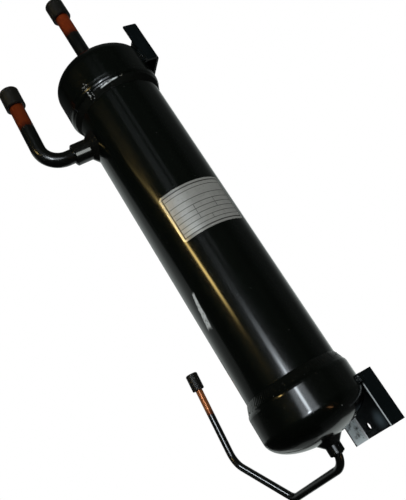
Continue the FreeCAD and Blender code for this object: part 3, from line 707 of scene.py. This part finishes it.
def braze_ring(name, centre, along, tube_radius, thick, finish):
    """Smooth ring of filler where a tube enters its bushing."""
    first = along.orthogonal().normalized()
    second = along.cross(first)
    bm = bmesh.new()
    rings = []
    steps = 72
    sides = 9
    for i in range(steps):
        a = 2 * math.pi * i / steps
        spoke = first * math.cos(a) + second * math.sin(a)
        swell = 1 + 0.12 * math.sin(3 * a + 1) + 0.06 * math.sin(7 * a)
        ring = []
        for j in range(sides):
            b = 2 * math.pi * j / sides
            reach = tube_radius + math.cos(b) * thick * swell
            ring.append(bm.verts.new(centre + spoke * reach + along * (math.sin(b) * thick * swell)))
        rings.append(ring)
    skin(bm, rings, True)
    return piece(name, bm, finish)


def cap_surface(azimuth, z, top):
    """Point and outward normal of an end cap or of the pipe, at an angle and height."""
    knuckle = TOP_KNUCKLE_Z if top else BOTTOM_KNUCKLE_Z
    toe = TOP_TOE_Z if top else BOTTOM_TOE_Z
    side = 1 if top else -1
    unit = outward(azimuth)
    rise = side * (z - knuckle)
    above_toe = side * (z - toe)
    if rise > 0:
        r = CAP_R * math.sqrt(max(0.0, 1 - (rise / CAP_CROWN) ** 2))
        normal = (unit * (r / CAP_R ** 2) + UP * (side * rise / CAP_CROWN ** 2)).normalized()
    elif above_toe > WELD_LENGTH:
        r = CAP_R
        normal = unit
    elif above_toe > 0:
        r = BODY_R + (CAP_R - BODY_R) * weld_rise(above_toe / WELD_LENGTH) + WELD_PROUD
        normal = (unit * WELD_OUT - UP * (side * WELD_TO_TOE)).normalized()
    else:
        r = BODY_R
        normal = unit
    return unit * r + Vector((0, AXIS_Y, z)), normal


def spatter(name, drops, finish, seed):
    """Small drops of weld metal stuck to the vessel.

    Each group of drops has an azimuth, a height, how far they spread in degrees and in height,
    their number and the radius of the largest.
    """
    rng = random.Random(seed)
    bm = bmesh.new()
    for azimuth, z, turn, tall, count, size in drops:
        for _ in range(count):
            at = azimuth + rng.uniform(-turn, turn)
            height = z + rng.uniform(-tall, tall)
            drop = size * rng.uniform(0.5, 1.0)
            point, normal = cap_surface(at, height, height > 0)
            spin = normal.to_track_quat("Z", "Y").to_matrix().to_4x4()
            squash = Matrix.Diagonal((1, rng.uniform(0.8, 1.2), 0.6, 1))
            where = Matrix.Translation(point) @ spin @ squash
            bmesh.ops.create_icosphere(bm, subdivisions=2, radius=drop, matrix=where)
    return piece(name, bm, finish)


# The vessel

def paint(names, finish):
    for name in names:
        mesh = nodes[name].data
        mesh.materials.clear()
        mesh.materials.append(finish)


def dress_nodes():
    paint(["shell_tube"], vessel_paint())
    paint(["top_cap", "bottom_cap"], cap_paint())
    paint(["upper_bracket"], bracket_paint("upper_bracket_black_paint", 0.03))
    paint(["lower_bracket"], bracket_paint("lower_bracket_black_paint", 1.0))
    paint(["inlet_transit_cap", "outlet_transit_cap", "oil_return_transit_cap"], cap_plastic())
    paint(["data_plate"], plate_finish())
    paint(["inlet_bushing", "outlet_bushing", "oil_return_bushing"], bushing_paint())
    brown = (0.12, 0.012, 0.003, 1)
    orange = (0.32, 0.055, 0.013, 1)
    russet = (0.21, 0.042, 0.009, 1)
    tan = (0.17, 0.045, 0.014, 1)
    bright = (0.46, 0.18, 0.07, 1)
    paint(["outlet_tube"], tube_finish("outlet_copper", OUTLET_PAINT_EDGE_Z, brown, orange))
    paint(["inlet_tube"], tube_finish("inlet_copper", INLET_PAINT_EDGE_Z, brown, russet))
    paint(["oil_return_tube"], tube_finish("oil_return_copper", OIL_PAINT_EDGE_Z, tan, bright))
    steel = bare_metal("oiled_steel", (0.20, 0.20, 0.19, 1), (0.36, 0.35, 0.33, 1), 9 * MM, 0.35)
    paint(["inlet_deflector", "screen_top_plate", "outlet_screen", "screen_bottom_plate"], steel)
    paint(["sump_baffle", "valve_yoke", "arm_pin", "float_arm"], steel)
    polished = bare_metal("float_steel", (0.42, 0.42, 0.41, 1), (0.58, 0.57, 0.55, 1), 20 * MM, 0.2)
    paint(["float_ball"], polished)
    brass = bare_metal("valve_brass", (0.48, 0.33, 0.12, 1), (0.62, 0.46, 0.20, 1), 8 * MM, 0.3)
    paint(["valve_body", "valve_needle"], brass)
    ferrite = bare_metal("magnet_ferrite", (0.03, 0.03, 0.032, 1), (0.07, 0.068, 0.066, 1), 3 * MM, 0.6, 0.1)
    paint(["sump_magnet"], ferrite)


def shell_reach(offset):
    """How far the pipe's skin is from its axis, beside a level line through the axis."""
    return math.sqrt(BODY_R ** 2 - math.hypot(offset.x, offset.y) ** 2)


def crown_reach(knuckle):
    """The same for an end cap's crown, from the middle of the vessel to beside its axis."""
    def reach(offset):
        return knuckle + CAP_CROWN * math.sqrt(1 - (offset.length / CAP_R) ** 2)
    return reach


def bushing_joints(finish):
    """Weld beads round the three bushings, and braze rings where the tubes enter them."""
    axis = Vector((0, AXIS_Y, 0))
    inlet_out = outward(INLET_AZIMUTH)
    gas_r = GAS_BUSHING_R + 1.8 * MM
    gas_thick = 3.4 * MM
    bushing_weld("inlet_bushing_weld", axis + UP * INLET_Z, inlet_out, shell_reach,
                 gas_r, gas_thick, finish, 3)
    bushing_weld("outlet_bushing_weld", axis, UP, crown_reach(TOP_KNUCKLE_Z), gas_r, gas_thick, finish, 5)
    bushing_weld("oil_bushing_weld", axis, -UP, crown_reach(-BOTTOM_KNUCKLE_Z),
                 OIL_BUSHING_R + 1.6 * MM, 3.6 * MM, finish, 7)
    inlet_end = axis + UP * INLET_Z + inlet_out * INLET_BUSHING_REACH
    gas_ring_r = GAS_TUBE_R + 0.4 * MM
    braze_ring("inlet_braze", inlet_end, inlet_out, gas_ring_r, 1.3 * MM, finish)
    braze_ring("outlet_braze", axis + UP * OUTLET_BUSHING_TOP_Z, UP, gas_ring_r, 1.3 * MM, finish)
    braze_ring("oil_braze", axis + UP * OIL_BUSHING_FOOT_Z, -UP, OIL_TUBE_R + 0.4 * MM, 1.1 * MM, finish)


def bracket_welds(finish):
    """Beads where the free edges of both brackets lie on the end caps' skirts."""
    steps = 40
    for place, low, high in (("upper", BRACKET_WELD_END_Z, TOP_KNUCKLE_Z),
                             ("lower", BOTTOM_KNUCKLE_Z, -BRACKET_WELD_END_Z)):
        for name, side in (("left", -1), ("right", 1)):
            x = side * (BRACKET_HALF - BRACKET_SHEET / 2) + side * 0.6 * MM
            points = []
            normals = []
            for i in range(steps + 1):
                z = low + (high - low) * i / steps
                points.append(Vector((x, BRACKET_FRONT_Y - 0.4 * MM, z)))
                normals.append(Vector((side, -0.6, 0)).normalized())
            weld = place + "_bracket_weld_" + name
            bead(weld, points, normals, 4.0 * MM, finish, 2.6 * MM, False, 11 + side)


def weld_drops(finish):
    """Spatter beside the shoulder welds, most of it painted over."""
    spatter("weld_spatter", [
        (-47, 219 * MM, 6, 7 * MM, 12, 1.1 * MM),
        (-40, 205 * MM, 30, 4 * MM, 18, 0.9 * MM),
        (20, 212 * MM, 50, 8 * MM, 16, 0.8 * MM),
        (150, 210 * MM, 90, 9 * MM, 24, 0.9 * MM),
        (-60, -213 * MM, 40, 6 * MM, 18, 0.9 * MM),
        (20, -212 * MM, 40, 7 * MM, 18, 0.9 * MM),
        (150, -212 * MM, 90, 8 * MM, 24, 0.9 * MM),
    ], finish, 21)
    bright = bare_metal("bare_spatter", (0.45, 0.46, 0.46, 1), (0.80, 0.82, 0.82, 1), 2 * MM, 0.22, 0.6)
    spatter("bare_weld_spatter", [
        (-47, 217 * MM, 4, 13 * MM, 26, 0.65 * MM),
        (-46.5, 213 * MM, 2, 4 * MM, 6, 1.0 * MM),
        (-6, 215 * MM, 6, 3 * MM, 10, 0.55 * MM),
        (-52, -215 * MM, 3, 3 * MM, 4, 0.5 * MM),
        (4, -257 * MM, 1, 1 * MM, 1, 0.7 * MM),
    ], bright, 22)


def weld_pieces():
    finish = weld_paint()
    shoulder_weld("top_shoulder_weld", TOP_TOE_Z, 1, finish)
    shoulder_weld("bottom_shoulder_weld", BOTTOM_TOE_Z, -1, finish)
    bushing_joints(finish)
    bracket_welds(finish)
    weld_drops(finish)


studio()
floor()
lamps()
camera()
dress_nodes()
weld_pieces()

bpy.context.scene.view_settings.view_transform = "Standard"
